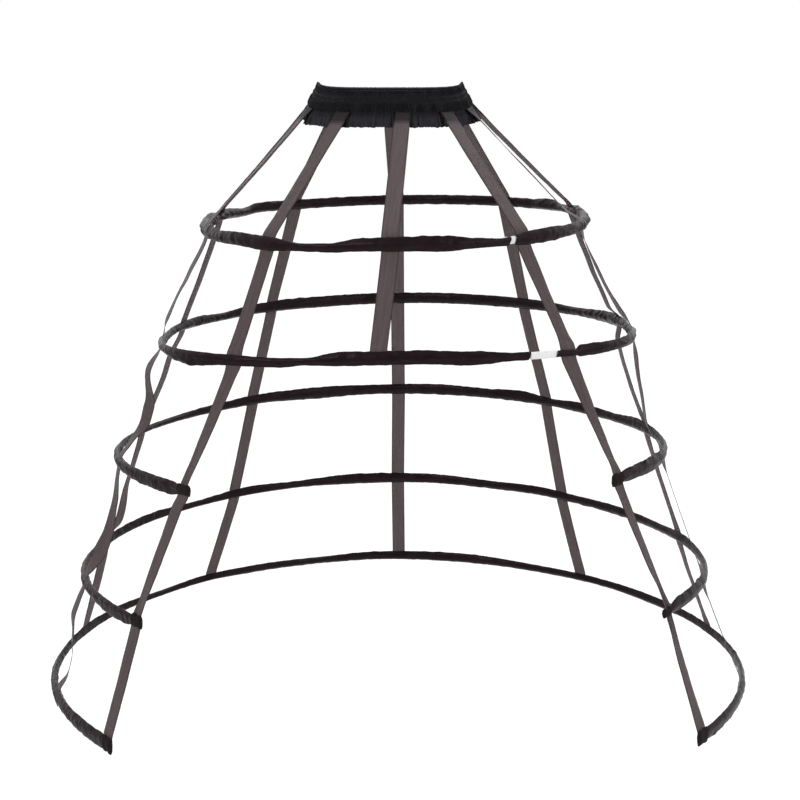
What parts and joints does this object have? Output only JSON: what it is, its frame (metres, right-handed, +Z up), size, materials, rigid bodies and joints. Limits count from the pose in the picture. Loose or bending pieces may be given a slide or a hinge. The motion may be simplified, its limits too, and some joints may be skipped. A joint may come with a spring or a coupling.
{
  "type": "crinoline cage",
  "caption": "Hooped underskirt frame: gathered elastic waistband, puckered black hoop casings that widen downwards and open in front, and flat hanging tapes.",
  "frame": {"origin": "centre of the waist opening, level with the top edge of the band at the two sides", "axes": "+Z up, out of the waist opening; +X to the right as seen from the front; the front faces -Y"},
  "size_m": [1.1444, 0.9527, 0.9719],
  "materials": {
    "waistband_cloth": "matt black cloth, gathered",
    "casing_satin": "black satin with soft grey highlights on its puckers",
    "wrap_cloth": "folded black cloth",
    "tape": "dark plum-grey woven tape, slightly see-through",
    "elastic": "woven elastic",
    "bone": "covered spring steel",
    "white_sleeve": "white plastic sleeve",
    "tip_metal": "crimped metal tip"
  },
  "bodies": {
    "root": {"waistband": "waistband_cloth", "waist_elastic": "elastic", "hoop_bone_1": "bone", "hoop_casing_1": "casing_satin", "hoop_bone_2": "bone", "hoop_casing_2": "casing_satin", "hoop_bone_3": "bone", "hoop_casing_3": "casing_satin", "hoop_bone_4": "bone", "hoop_casing_4": "casing_satin", "hoop_bone_5": "bone", "hoop_casing_5": "casing_satin", "bone_sleeve_1": "white_sleeve", "bone_sleeve_2": "white_sleeve", "end_wrap_3_left": "wrap_cloth", "bone_tip_3_left": "tip_metal", "end_wrap_3_right": "wrap_cloth", "bone_tip_3_right": "tip_metal", "end_wrap_4_left": "wrap_cloth", "bone_tip_4_left": "tip_metal", "end_wrap_4_right": "wrap_cloth", "bone_tip_4_right": "tip_metal", "end_wrap_5_left": "wrap_cloth", "bone_tip_5_left": "tip_metal", "end_wrap_5_right": "wrap_cloth", "bone_tip_5_right": "tip_metal", "tape_front_centre": "tape", "tape_front_right": "tape", "tape_side_front_right": "tape", "tape_side_back_right": "tape", "tape_back_right": "tape", "tape_back_centre": "tape", "tape_back_left": "tape", "tape_side_back_left": "tape", "tape_side_front_left": "tape", "tape_front_left": "tape"}
  },
  "joints": []
}
